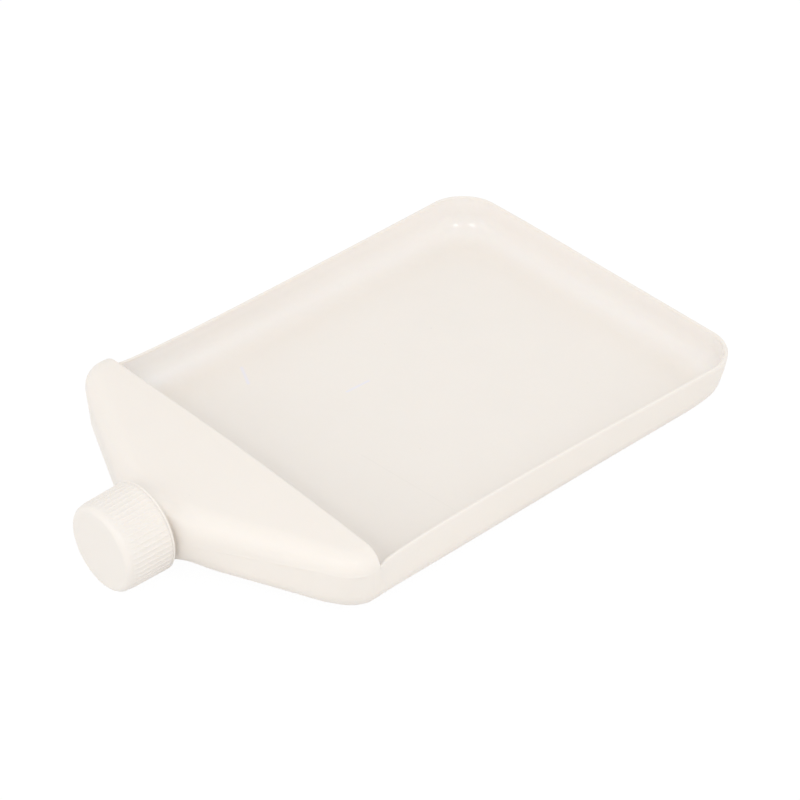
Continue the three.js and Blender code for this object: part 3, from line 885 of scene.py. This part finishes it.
def moulded_plastic(name, colour, roughness, inner_roughness):
    """Off-white plastic: faint clouds in its colour, a fine skin, a few dark specks and marks, and
    painted light that makes the basin paler to offset its shade. The inside can be glossier than the
    outside."""
    board = NodeBoard(name)
    # the inner skin's colour carries painted light
    inside, colour_and_painted_light = plastic_colour_and_painted_light(board, colour)
    clouds = board.spread(board.noise(38, 3), 0.3, 0.7)
    grain = board.spread(board.noise(900, 3), 0.3, 0.7)
    tone = board.mix(clouds, (0.99, 0.99, 0.99), (1.004, 1.004, 1.004))
    tone = board.mix(board.math("MULTIPLY", grain, 0.25), tone, (0.975, 0.975, 0.975))
    base = board.blend("MULTIPLY", colour_and_painted_light, tone)
    # the faint thin dark line on the basin's floor
    base = board.mix(stroke_mask(board, *FLOOR_LINE), base, SPECK_COLOUR)
    for stain in STAINS:
        base = board.mix(stroke_mask(board, *stain), base, STAIN_COLOUR)
    base = board.mix(speck_mask(board), base, SPECK_COLOUR)
    board.link(base, board.shader.inputs["Base Color"])
    plain = board.spread(inside, 0, 1, roughness, inner_roughness)
    uneven = board.spread(board.noise(120, 4), 0.25, 0.75, -0.03, 0.04)
    board.link(board.math("ADD", plain, uneven), board.shader.inputs["Roughness"])
    board.shader.inputs["IOR"].default_value = 1.5
    board.shader.inputs["Specular IOR Level"].default_value = 0.45
    board.shader.inputs["Subsurface Weight"].default_value = 0.12
    board.shader.inputs["Subsurface Radius"].default_value = (1.0, 0.8, 0.6)
    board.shader.inputs["Subsurface Scale"].default_value = 0.003
    skin = board.noise(2400, 3)
    peel = board.noise(240, 2)
    board.bump([(peel, 0.00004), (skin, 0.000002)])
    return board.material


def foam():
    """Closed-cell foam: dull, with fine pores."""
    board = NodeBoard("liner_foam")
    pores = board.add("ShaderNodeTexVoronoi")
    pores.inputs["Scale"].default_value = 2600
    board.link(board.place, pores.inputs["Vector"])
    clouds = board.spread(board.noise(300, 3), 0.3, 0.7)
    base = board.mix(clouds, LINER_DARK_COLOUR, LINER_COLOUR)
    board.link(base, board.shader.inputs["Base Color"])
    roughness = board.spread(board.noise(500), 0.3, 0.7, 0.75, 0.9)
    board.link(roughness, board.shader.inputs["Roughness"])
    board.bump([(pores.outputs["Distance"], 0.00005)])
    return board.material


# ---------------------------------------------------------------- pieces on the frame


def place(piece, material, body, node, slot):
    piece.data.materials.append(material)
    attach(piece, body)
    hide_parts(node)


def place_pieces():
    tray_plastic = moulded_plastic("tray_plastic", TRAY_COLOUR, 0.4, 0.18)
    cap_plastic = moulded_plastic("cap_plastic", CAP_COLOUR, 0.38, 0.38)
    place(make_tray(), tray_plastic, "tray", "tray_body", "tray_plastic")
    place(make_cap(), cap_plastic, "cap", "screw_cap", "cap_plastic")
    place(make_liner(), foam(), "liner", "cap_liner", "liner_foam")


# ---------------------------------------------------------------- floor, light and camera


FLOOR_SIZE = 3
FLOOR_GAP = 0.00005  # left under the object
FLOOR_COLOUR = (0.8, 0.8, 0.8)
FLOOR_WHITE = 1.03  # strength of the white that the camera sees
FLOOR_WHITE_SHARE = 0.94  # the rest keeps the object's shadow
WORLD_LIGHT = 0.86
WORLD_WHITE = 1.0  # strength of the white that the camera sees


def floor_material():
    """White to the camera, with a trace of the object's soft shadow."""
    board = NodeBoard("floor_white")
    board.shader.inputs["Base Color"].default_value = (*FLOOR_COLOUR, 1)
    board.shader.inputs["Roughness"].default_value = 0.9
    board.shader.inputs["Specular IOR Level"].default_value = 0
    glow = board.add("ShaderNodeEmission")
    glow.inputs["Strength"].default_value = FLOOR_WHITE
    path = board.add("ShaderNodeLightPath")
    seen = board.math("MAXIMUM", path.outputs["Is Camera Ray"], path.outputs["Is Glossy Ray"])
    seen = board.math("MAXIMUM", seen, path.outputs["Is Transmission Ray"])
    blend = board.add("ShaderNodeMixShader")
    board.link(board.math("MULTIPLY", seen, FLOOR_WHITE_SHARE), blend.inputs["Fac"])
    board.link(board.shader.outputs["BSDF"], blend.inputs[1])
    board.link(glow.outputs["Emission"], blend.inputs[2])
    board.link(blend.outputs["Shader"], board.tree.nodes["Material Output"].inputs["Surface"])
    return board.material


def make_floor():
    """The object rests on the cap's skirt and the tray's rear edge, so its floor slopes a little."""
    size = FLOOR_SIZE
    front_y = SKIRT_END * MM
    front_z = (AXIS_HEIGHT - CAP_OPEN_RADIUS) * MM - FLOOR_GAP
    rear_y = (TRAY_LENGTH - EDGE_RADIUS) * MM
    slope = (-FLOOR_GAP - front_z) / (rear_y - front_y)
    mesh = bpy.data.meshes.new("floor")
    plan = ((-size, -size), (size, -size), (size, size), (-size, size))
    corners = [(x, y, front_z + (y - front_y) * slope) for x, y in plan]
    mesh.from_pydata(corners, [], [(0, 1, 2, 3)])
    mesh.materials.append(floor_material())
    floor = bpy.data.objects.new("floor", mesh)
    bpy.context.scene.collection.objects.link(floor)


def light_world():
    world = bpy.data.worlds.new("studio")
    world.use_nodes = True
    tree = world.node_tree
    background = tree.nodes["Background"]
    path = tree.nodes.new("ShaderNodeLightPath")
    strength = tree.nodes.new("ShaderNodeMapRange")
    tree.links.new(path.outputs["Is Camera Ray"], strength.inputs["Value"])
    strength.inputs["To Min"].default_value = WORLD_LIGHT
    strength.inputs["To Max"].default_value = WORLD_WHITE
    tree.links.new(strength.outputs["Result"], background.inputs["Strength"])
    background.inputs["Color"].default_value = (1, 1, 1, 1)
    bpy.context.scene.world = world


LAMP_AIM = (0, 0.05, 0.01)
LAMP_DISTANCE = 1.3
LAMPS = (  # name, azimuth, elevation, size and power
    ("left_box", 23, 42, 0.16, 1.2),
    ("right_box", 71, 44, 0.16, 1.2),
    ("front_fill", -15, 18, 0.9, 1.8),
    ("side_fill", 108, 18, 0.9, 1.4),
    ("top_soft", 0, 88, 1.0, 0.1),
)
CAMERA_AZIMUTH = 47.732
CAMERA_ELEVATION = 37.165
CAMERA_DISTANCE = 0.88087
CAMERA_AIM = (0.00488, 0.06648, 0.01)
CAMERA_LENS = 118.459


def stand(obj, aim, azimuth, elevation, distance):
    """Puts a lamp or the camera round its aim, facing it. Azimuth 0 is at -Y and 90 at +X."""
    turn, rise = math.radians(azimuth), math.radians(elevation)
    back = Vector((math.sin(turn) * math.cos(rise), -math.cos(turn) * math.cos(rise), math.sin(rise)))
    obj.location = Vector(aim) + back * distance
    obj.rotation_euler = back.to_track_quat("Z", "Y").to_euler()
    bpy.context.scene.collection.objects.link(obj)


def light_studio():
    """Square soft lamps, all at one distance."""
    for name, azimuth, elevation, size, power in LAMPS:
        light = bpy.data.lights.new(name, "AREA")
        light.size = size
        light.energy = power
        lamp = bpy.data.objects.new(name, light)
        stand(lamp, LAMP_AIM, azimuth, elevation, LAMP_DISTANCE)


def make_camera():
    data = bpy.data.cameras.new("camera")
    data.lens = CAMERA_LENS
    camera = bpy.data.objects.new("camera", data)
    stand(camera, CAMERA_AIM, CAMERA_AZIMUTH, CAMERA_ELEVATION, CAMERA_DISTANCE)
    bpy.context.scene.camera = camera


make_floor()
light_world()
light_studio()
make_camera()
place_pieces()
bpy.context.scene.view_settings.view_transform = "Standard"
